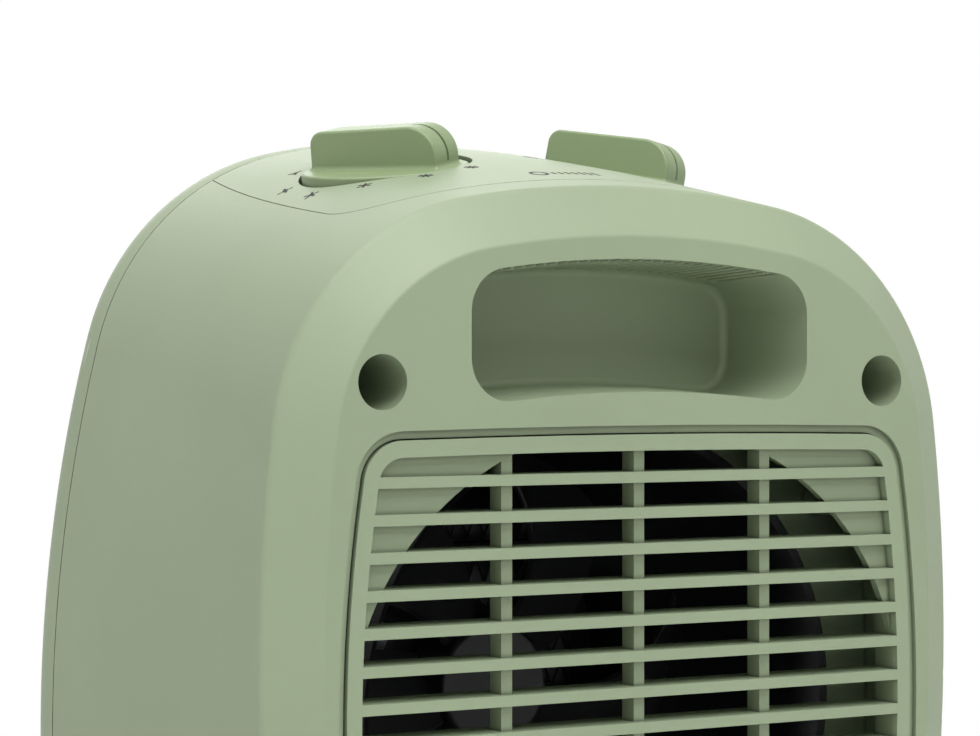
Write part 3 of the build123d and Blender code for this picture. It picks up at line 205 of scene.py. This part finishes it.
@dataclass(frozen=True)
class DrawnMetal:
    """Drawn, turned or rolled metal with fine lines along one axis, in mm, which stretch its highlight."""

    name: str
    tint: str
    roughness: float = 0.32
    line_pitch: float = 0.4
    line_length: float = 12.0
    line_height: float = 0.01
    polish_drift: float = 0.08
    along: int = 1

    def make(self) -> bpy.types.Material:
        """Build the material.

        Returns:
            The material, with its lines in mm on Object coordinates.
        """
        material = bpy.data.materials.new(self.name)
        material.use_nodes = True
        tree = material.node_tree
        shader = tree.nodes["Principled BSDF"]
        shader.inputs["Base Color"].default_value = colour(self.tint)
        shader.inputs["Metallic"].default_value = 1.0
        place = add_node(tree, "ShaderNodeTexCoord").outputs["Object"]
        stretch = [per_mm(self.line_pitch)] * 3
        stretch[self.along] = per_mm(self.line_length)
        mapped = add_node(tree, "ShaderNodeMapping", {"Scale": stretch}, {"Vector": place})
        lines = add_node(
            tree, "ShaderNodeTexNoise", {"Scale": 1.0, "Detail": 2.0}, {"Vector": mapped.outputs["Vector"]}
        )
        polish = add_node(
            tree,
            "ShaderNodeMapRange",
            {
                "From Min": NOISE_LOW,
                "From Max": NOISE_HIGH,
                "To Min": self.roughness - self.polish_drift,
                "To Max": self.roughness + self.polish_drift,
            },
            {"Value": lines.outputs["Fac"]},
        )
        tree.links.new(polish.outputs["Result"], shader.inputs["Roughness"])
        bump = add_node(
            tree,
            "ShaderNodeBump",
            {"Strength": 1.0, "Distance": mm(self.line_height)},
            {"Height": lines.outputs["Fac"]},
        )
        tree.links.new(bump.outputs["Normal"], shader.inputs["Normal"])
        return material


@dataclass(frozen=True)
class FiredCeramic:
    """Unglazed fired ceramic: a chalky body with fine dark specks, in mm, and no sheen."""

    name: str
    tint: str
    speck: str
    speck_size: float = 0.8
    speck_height: float = 0.03
    speck_end: float = 0.32
    body_start: float = 0.42
    roughness: float = 0.85

    def make(self) -> bpy.types.Material:
        """Build the material.

        Returns:
            The material, with specks in mm on Object coordinates.
        """
        material = bpy.data.materials.new(self.name)
        material.use_nodes = True
        tree = material.node_tree
        shader = tree.nodes["Principled BSDF"]
        shader.inputs["Roughness"].default_value = self.roughness
        place = add_node(tree, "ShaderNodeTexCoord").outputs["Object"]
        specks = add_node(
            tree, "ShaderNodeTexNoise", {"Scale": per_mm(self.speck_size), "Detail": 4.0}, {"Vector": place}
        )
        ramp = add_node(tree, "ShaderNodeValToRGB", None, {"Fac": specks.outputs["Fac"]})
        ramp.color_ramp.elements[0].position = self.speck_end
        ramp.color_ramp.elements[0].color = colour(self.speck)
        ramp.color_ramp.elements[1].position = self.body_start
        ramp.color_ramp.elements[1].color = colour(self.tint)
        tree.links.new(ramp.outputs["Color"], shader.inputs["Base Color"])
        bump = add_node(
            tree,
            "ShaderNodeBump",
            {"Strength": 1.0, "Distance": mm(self.speck_height)},
            {"Height": specks.outputs["Fac"]},
        )
        tree.links.new(bump.outputs["Normal"], shader.inputs["Normal"])
        return material


Finish = MouldedPlastic | DrawnMetal | FiredCeramic

# Pigmented ABS from a finely eroded tool: matt, with a faint sheen at a low angle
# Its seams and closed-in corners get painted shade, darkened by ambient occlusion
CASING = MouldedPlastic("casing_abs_sage", "#8F9D80", seam_shade=0.9)
KNOBS = MouldedPlastic("knob_abs_sage", "#83956D", roughness=0.46, grain_size=0.35)
# Polypropylene: the duct is dull, and the fan is smoother and gives back a soft grey light
DUCT = MouldedPlastic(
    "duct_polypropylene_black", "#26262A", roughness=0.5, grain_size=0.6, grain_height=0.006, drift=0.15
)
FAN = MouldedPlastic(
    "fan_polypropylene_black", "#3C3B40", roughness=0.36, grain_size=0.6, grain_height=0.003, drift=0.15
)
# Phenolic resin: brown and rather shiny, as it leaves a polished tool
RESIN = MouldedPlastic("control_phenolic_brown", "#2A2320", roughness=0.38, grain_size=0.5, drift=0.1)
# Glass-filled plastic: its fibres show as a coarse dull cloud
HEATER_RESIN = MouldedPlastic(
    "heater_frame_glass_filled_black", "#1D1D1D", roughness=0.6, grain_size=1.2, drift=0.2
)
NATURAL_NYLON = MouldedPlastic("control_nylon_natural", "#DAD8CE", roughness=0.4, grain_size=0.6)
RUBBER = MouldedPlastic(
    "foot_moulded_rubber", "#1A1A1A", roughness=0.8, grain_size=0.8, grain_height=0.03, drift=0.2
)
# Pad-printed ink: a thin matt film
PRINT = MouldedPlastic("pad_printed_ink", "#121611", roughness=0.75, grain_size=0.3, grain_height=0.004)
# Metals: their lines are drawn coarser than the real ones, so that they show
ZINC = DrawnMetal("screw_zinc_plated_steel", "#B9BCC0", roughness=0.3, line_length=3.0)
STEEL = DrawnMetal("motor_drawn_steel", "#A8ABAF", roughness=0.34)
MAGNET = DrawnMetal("magnet_sintered_ferrite", "#3A3A3C", roughness=0.6, line_pitch=1.0, line_length=1.5)
# Painted shade: the fins, plates and fuse are coloured dark grey to stand in for the shade inside the duct
ALUMINIUM = DrawnMetal("aluminium_painted_dark", "#38393B", roughness=0.6, along=0)
BRASS = DrawnMetal("terminal_stamped_brass", "#C9A45A", roughness=0.28, along=0)
# Ceramics: the heating stones are dark grey, and the thermostat's body is off-white
STONE = FiredCeramic("stone_fired_titanate_grey", "#57534D", "#3B3834")
CERAMIC = FiredCeramic("thermostat_fired_steatite", "#D8D2C4", "#8F887A")


@dataclass
class Dressing:
    """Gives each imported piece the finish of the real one."""

    finishes: dict[str, Finish] = field(default_factory=dict)

    def __post_init__(self) -> None:
        """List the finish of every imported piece."""
        groups = {
            CASING: "rear_housing front_cover control_panel rear_grille front_grille base_plate",
            KNOBS: "thermostat_knob mode_knob",
            DUCT: "fan_duct cord_bush motor_end_cap",
            FAN: "fan_rotor",
            RESIN: "switch_body tip_switch_body thermal_cutout",
            HEATER_RESIN: "heater_frame",
            NATURAL_NYLON: "thermostat_shaft switch_shaft tip_plunger",
            RUBBER: "rubber_feet",
            ZINC: (
                "housing_screws duct_screws heater_screws motor_screws base_screws control_screws tip_spring"
            ),
            STEEL: "motor_can motor_shaft motor_armature",
            MAGNET: "motor_magnets",
            ALUMINIUM: "heater_fins electrode_plates thermal_fuse",
            BRASS: "motor_bushes thermostat_blades switch_terminals",
            STONE: "ceramic_stones",
            CERAMIC: "thermostat_body",
        }
        for finish, names in groups.items():
            for name in names.split():
                self.finishes[name] = finish

    def apply(self, nodes: dict[str, bpy.types.Object]) -> None:
        """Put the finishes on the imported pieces.

        Args:
            nodes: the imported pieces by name.
        """
        made: dict[str, bpy.types.Material] = {}
        for name, piece in nodes.items():
            finish = self.finishes[name]
            if finish.name not in made:
                made[finish.name] = finish.make()
            piece.data.materials.clear()
            piece.data.materials.append(made[finish.name])
            log.info("dressed %s in %s", name, finish.name)


class Skin:
    """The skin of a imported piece, for finding what lies on it."""

    def __init__(self, piece: bpy.types.Object) -> None:
        """Read the piece's mesh.

        Args:
            piece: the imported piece.
        """
        shape = bmesh.new()
        shape.from_mesh(piece.data)
        self.tree = BVHTree.FromBMesh(shape)
        shape.free()

    def height(self, x: float, y: float, start: float, upward: bool = False) -> float:
        """Find the skin above or below a point.

        Args:
            x: the point's distance across, in m.
            y: its depth, in m.
            start: the height to look from, in m.
            upward: whether to look up and not down.

        Returns:
            The skin's height there, in m.
        """
        way = Vector((0.0, 0.0, 1.0 if upward else -1.0))
        spot = self.tree.ray_cast(Vector((x, y, start)), way)[0]
        return spot.z if spot else start


def make_piece(
    name: str, shape: bmesh.types.BMesh, finish: bpy.types.Material, body: Body
) -> None:
    """Turn a shape into a piece that rides on a body.

    Args:
        name: the piece's name.
        shape: its shape, in m, which is freed.
        finish: its material.
        body: the body it rides on.
    """
    bmesh.ops.recalc_face_normals(shape, faces=shape.faces)
    mesh = bpy.data.meshes.new(name)
    shape.to_mesh(mesh)
    shape.free()
    mesh.materials.append(finish)
    piece = bpy.data.objects.new(name, mesh)
    bpy.context.scene.collection.objects.link(piece)
    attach(piece, body.value)
    log.info("made %s with %d faces", name, len(mesh.polygons))


@dataclass
class GripRibs:
    """Fine ribs on the ceiling of the handle recess that keep the fingers from slipping, in mm."""

    housing: Skin
    finish: bpy.types.Material
    pitch: float = 2.86
    radius: float = 0.55
    reach: float = 37.2
    outer_y: float = 65.6
    inner_y: float = 44.0
    middle_height: float = 186.0
    sides: int = 10

    def build(self) -> None:
        """Lay the ribs along the ceiling, half sunk into it."""
        shape = bmesh.new()
        count = int(2 * self.reach / self.pitch) + 1
        for place in range(count):
            across = mm((place - (count - 1) / 2) * self.pitch)
            ends = [
                Vector((across, mm(y), self.housing.height(across, mm(y), mm(self.middle_height), True)))
                for y in (self.inner_y, self.outer_y)
            ]
            run = ends[1] - ends[0]
            turn = run.to_track_quat("Z", "Y").to_matrix().to_4x4()
            bmesh.ops.create_cone(
                shape,
                cap_ends=True,
                segments=self.sides,
                radius1=mm(self.radius),
                radius2=mm(self.radius),
                depth=run.length,
                matrix=Matrix.Translation((ends[0] + ends[1]) / 2) @ turn,
            )
        make_piece("grip_ribs", shape, self.finish, Body.CASING)


@dataclass
class PanelPrint:
    """Pad-printed signs on the control panel, round the knobs and near its rear edge, in mm and degrees."""

    panel: Skin
    finish: bpy.types.Material
    film: float = 0.03
    above: float = 250.0
    knob_x: float = 32.5
    knob_y: float = 7.0
    dot_sides: int = 20
    warmth_steps: int = 6
    warmth_start: float = -55.0
    warmth_turn: float = 34.5
    warmth_radius: float = 23.6
    warmth_dot: float = 0.8
    first_rays: int = 3
    ray_reach: float = 1.35
    ray_length: float = 0.9
    ray_width: float = 0.6
    mode_radius: float = 24.6
    off_angle: float = 1.0
    off_ring: float = 1.9
    off_line: float = 0.6
    high_angle: float = 121.0
    high_pitch: float = 1.1
    high_length: float = 2.2
    high_width: float = 0.5
    row_y: float = 42.4
    row_ring_x: float = 12.4
    row_ring: float = 2.4
    row_line: float = 0.8
    row_start: float = 8.4
    row_count: int = 7
    row_pitch: float = 1.9
    row_length: float = 2.0
    row_growth: float = 0.35

    def dot(self, shape: bmesh.types.BMesh, x: float, y: float, radius: float) -> list[bmesh.types.BMVert]:
        """Add a round dot, flat on the drawing plane.

        Args:
            shape: the shape it joins.
            x: its distance across, in mm.
            y: its depth, in mm.
            radius: its radius, in mm.

        Returns:
            Its vertices.
        """
        spot = Matrix.Translation((mm(x), mm(y), 0.0))
        made = bmesh.ops.create_circle(
            shape, cap_ends=True, segments=self.dot_sides, radius=mm(radius), matrix=spot
        )
        return made["verts"]

    def stroke(
        self, shape: bmesh.types.BMesh, x: float, y: float, length: float, width: float, turn: float
    ) -> list[bmesh.types.BMVert]:
        """Add a straight stroke, flat on the drawing plane.

        Args:
            shape: the shape it joins.
            x: the distance across of its middle, in mm.
            y: the depth of its middle, in mm.
            length: its length, in mm.
            width: its width, in mm.
            turn: the angle of its length from the X axis, in degrees.

        Returns:
            Its vertices.
        """
        place = Matrix.Translation((mm(x), mm(y), 0.0)) @ Matrix.Rotation(math.radians(turn), 4, "Z")
        size = Matrix.Diagonal((mm(length) / 2, mm(width) / 2, 1.0, 1.0))
        made = bmesh.ops.create_grid(shape, x_segments=3, y_segments=1, size=1.0, matrix=place @ size)
        return made["verts"]

    def ring(self, shape: bmesh.types.BMesh, x: float, y: float, radius: float, width: float) -> None:
        """Add a ring, flat on the drawing plane.

        Args:
            shape: the shape it joins.
            x: its distance across, in mm.
            y: its depth, in mm.
            radius: its outer radius, in mm.
            width: the width of its line, in mm.
        """
        rim = self.dot(shape, x, y, radius)
        face = rim[0].link_faces[0]
        bmesh.ops.inset_individual(shape, faces=[face], thickness=mm(width))
        bmesh.ops.delete(shape, geom=[face], context="FACES_ONLY")

    def build(self) -> None:
        """Print the signs and lay them on the panel."""
        shape = bmesh.new()
        self.thermostat_scale(shape)
        self.mode_signs(shape)
        self.stroke_row(shape)
        for corner in shape.verts:
            corner.co.z = self.panel.height(corner.co.x, corner.co.y, mm(self.above)) + mm(self.film)
        bmesh.ops.solidify(shape, geom=shape.faces[:], thickness=mm(self.film))
        make_piece("panel_print", shape, self.finish, Body.CASING)

    def around(self, side: int, angle: float, radius: float) -> tuple[float, float]:
        """A place around a knob.

        Args:
            side: 1 for the thermostat and -1 for the mode knob.
            angle: the angle in plan from the X axis, in degrees.
            radius: the distance from the knob's middle, in mm.

        Returns:
            The place's distance across and depth, in mm.
        """
        turn = math.radians(angle)
        return side * self.knob_x + radius * math.cos(turn), self.knob_y + radius * math.sin(turn)

    def thermostat_scale(self, shape: bmesh.types.BMesh) -> None:
        """Print warmth signs around the thermostat knob: a dot with one more ray around it at each step.

        Args:
            shape: the shape they join.
        """
        for step in range(self.warmth_steps):
            angle = self.warmth_start + self.warmth_turn * step
            x, y = self.around(1, angle, self.warmth_radius)
            self.dot(shape, x, y, self.warmth_dot)
            rays = self.first_rays + step
            for ray in range(rays):
                turn = angle + 360.0 * ray / rays
                out = math.radians(turn)
                ray_x = x + self.ray_reach * math.cos(out)
                ray_y = y + self.ray_reach * math.sin(out)
                self.stroke(shape, ray_x, ray_y, self.ray_length, self.ray_width, turn)

    def mode_signs(self, shape: bmesh.types.BMesh) -> None:
        """Print the ends of the mode knob's turn: a ring for off, and three strokes for the highest heat.

        Args:
            shape: the shape they join.
        """
        x, y = self.around(-1, self.off_angle, self.mode_radius)
        self.ring(shape, x, y, self.off_ring, self.off_line)
        x, y = self.around(-1, self.high_angle, self.mode_radius)
        aside = math.radians(self.high_angle + 90.0)
        for place in (-1, 0, 1):
            stroke_x = x + self.high_pitch * place * math.cos(aside)
            stroke_y = y + self.high_pitch * place * math.sin(aside)
            self.stroke(shape, stroke_x, stroke_y, self.high_length, self.high_width, self.high_angle)

    def stroke_row(self, shape: bmesh.types.BMesh) -> None:
        """Print a ring and a row of growing strokes near the panel's rear edge.

        Args:
            shape: the shape they join.
        """
        self.ring(shape, self.row_ring_x, self.row_y, self.row_ring, self.row_line)
        for step in range(self.row_count):
            x = self.row_start - self.row_pitch * step
            self.stroke(shape, x, self.row_y, self.row_length + self.row_growth * step, self.row_line, 90.0)


@dataclass
class Studio:
    """A white studio: a pale floor that fades away, soft lamps and the photograph's camera, in mm."""

    eye: tuple[float, float, float] = (388.7, 623.5, 177.0)
    heading: tuple[float, float, float] = (-0.52992, -0.84805, 0.0)
    focal_pixels: float = 3033.0
    image_width: int = 980
    sensor_width: float = 36.0
    near_clip: float = 10.0
    far_clip: float = 50000.0
    aim_height: float = 120.0
    room_light: float = 0.19
    floor_tint: str = "#F4F4F2"
    floor_radius: float = 3000.0
    floor_sides: int = 96
    fade_start: float = 260.0
    fade_end: float = 620.0
    fibre_size: float = 1.5
    fibre_height: float = 0.02

    def camera(self) -> None:
        """Stand the camera where the photographer's stood."""
        data = bpy.data.cameras.new("camera")
        data.sensor_width = self.sensor_width
        data.lens = self.focal_pixels / self.image_width * data.sensor_width
        data.clip_start = mm(self.near_clip)
        data.clip_end = mm(self.far_clip)
        camera = bpy.data.objects.new("camera", data)
        bpy.context.scene.collection.objects.link(camera)
        camera.location = [mm(v) for v in self.eye]
        camera.rotation_mode = "QUATERNION"
        camera.rotation_quaternion = Vector(self.heading).to_track_quat("-Z", "Y")
        bpy.context.scene.camera = camera

    def lamp(self, name: str, place: tuple[float, float, float], size: float, power: float) -> None:
        """Hang one soft square lamp that faces the middle of the heater.

        Args:
            name: the lamp's name.
            place: where it hangs, in mm.
            size: its side, in mm.
            power: its power in watts.
        """
        data = bpy.data.lights.new(name, "AREA")
        data.shape = "SQUARE"
        data.size = mm(size)
        data.energy = power
        lamp = bpy.data.objects.new(name, data)
        bpy.context.scene.collection.objects.link(lamp)
        lamp.location = [mm(v) for v in place]
        aim = Vector((0.0, 0.0, mm(self.aim_height))) - lamp.location
        lamp.rotation_mode = "QUATERNION"
        lamp.rotation_quaternion = aim.to_track_quat("-Z", "Y")

    def world(self) -> None:
        """Light the room evenly, and show white to the camera, to glossy and to transmitted rays."""
        world = bpy.data.worlds.new("studio")
        bpy.context.scene.world = world
        world.use_nodes = True
        tree = world.node_tree
        tree.nodes.clear()
        rays = add_node(tree, "ShaderNodeLightPath")
        direct = add_node(
            tree,
            "ShaderNodeMath",
            {"operation": "MAXIMUM"},
            {0: rays.outputs["Is Camera Ray"], 1: rays.outputs["Is Transmission Ray"]},
        )
        seen = add_node(
            tree,
            "ShaderNodeMath",
            {"operation": "MAXIMUM"},
            {0: direct.outputs["Value"], 1: rays.outputs["Is Glossy Ray"]},
        )
        room = add_node(tree, "ShaderNodeBackground", {"Color": WHITE, "Strength": self.room_light})
        white = add_node(tree, "ShaderNodeBackground", {"Color": WHITE, "Strength": 1.0})
        both = add_node(
            tree,
            "ShaderNodeMixShader",
            None,
            {0: seen.outputs["Value"], 1: room.outputs["Background"], 2: white.outputs["Background"]},
        )
        add_node(tree, "ShaderNodeOutputWorld", None, {"Surface": both.outputs["Shader"]})

    def floor(self) -> None:
        """Lay a pale round floor that keeps the heater's shadow and fades to white away from it."""
        mesh = bpy.data.meshes.new("floor")
        shape = bmesh.new()
        bmesh.ops.create_circle(
            shape, cap_ends=True, segments=self.floor_sides, radius=mm(self.floor_radius)
        )
        shape.to_mesh(mesh)
        shape.free()
        floor = bpy.data.objects.new("floor", mesh)
        bpy.context.scene.collection.objects.link(floor)
        material = bpy.data.materials.new("floor_paper_white")
        material.use_nodes = True
        tree = material.node_tree
        tree.nodes.clear()
        place = add_node(tree, "ShaderNodeTexCoord").outputs["Object"]
        reach = add_node(tree, "ShaderNodeVectorMath", {"operation": "LENGTH"}, {0: place})
        fade = add_node(
            tree,
            "ShaderNodeMapRange",
            {
                "interpolation_type": "SMOOTHSTEP",
                "From Min": mm(self.fade_start),
                "From Max": mm(self.fade_end),
            },
            {"Value": reach.outputs["Value"]},
        )
        rays = add_node(tree, "ShaderNodeLightPath")
        seen = add_node(
            tree,
            "ShaderNodeMath",
            {"operation": "MAXIMUM"},
            {0: rays.outputs["Is Camera Ray"], 1: rays.outputs["Is Glossy Ray"]},
        )
        share = add_node(
            tree,
            "ShaderNodeMath",
            {"operation": "MULTIPLY"},
            {0: fade.outputs["Result"], 1: seen.outputs["Value"]},
        )
        fibres = add_node(
            tree, "ShaderNodeTexNoise", {"Scale": per_mm(self.fibre_size), "Detail": 4.0}, {"Vector": place}
        )
        bump = add_node(
            tree,
            "ShaderNodeBump",
            {"Strength": 1.0, "Distance": mm(self.fibre_height)},
            {"Height": fibres.outputs["Fac"]},
        )
        paper = add_node(
            tree,
            "ShaderNodeBsdfDiffuse",
            {"Color": colour(self.floor_tint)},
            {"Normal": bump.outputs["Normal"]},
        )
        white = add_node(tree, "ShaderNodeEmission", {"Color": WHITE, "Strength": 1.0})
        both = add_node(
            tree,
            "ShaderNodeMixShader",
            None,
            {0: share.outputs["Value"], 1: paper.outputs["BSDF"], 2: white.outputs["Emission"]},
        )
        add_node(tree, "ShaderNodeOutputMaterial", None, {"Surface": both.outputs["Shader"]})
        mesh.materials.append(material)

    def build(self) -> None:
        """Set up the floor, the lamps, the world and the camera."""
        bpy.context.scene.view_settings.view_transform = "Standard"
        self.camera()
        self.world()
        self.floor()
        # Each lamp's place and side in mm, and its power in watts, fitted to the shading in the photograph
        self.lamp("overhead", (250.0, 150.0, 1500.0), 1100.0, 13.2)
        self.lamp("behind", (0.0, 1000.0, 1300.0), 900.0, 14.0)
        self.lamp("beside", (1300.0, 0.0, 400.0), 900.0, 1.8)
        self.lamp("near_camera", (1000.0, 1500.0, 700.0), 1000.0, 2.2)
        self.lamp("before", (-500.0, -1400.0, 800.0), 900.0, 4.5)
        log.info("set up the studio")


def main() -> None:
    """Dress the heater and set it in the studio."""
    logging.basicConfig(level=logging.INFO, format="%(message)s")
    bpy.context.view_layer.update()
    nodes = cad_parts
    Dressing().apply(nodes)
    GripRibs(Skin(nodes["rear_housing"]), nodes["rear_housing"].data.materials[0]).build()
    PanelPrint(Skin(nodes["control_panel"]), PRINT.make()).build()
    Studio().build()


if __name__ == "__main__":
    main()
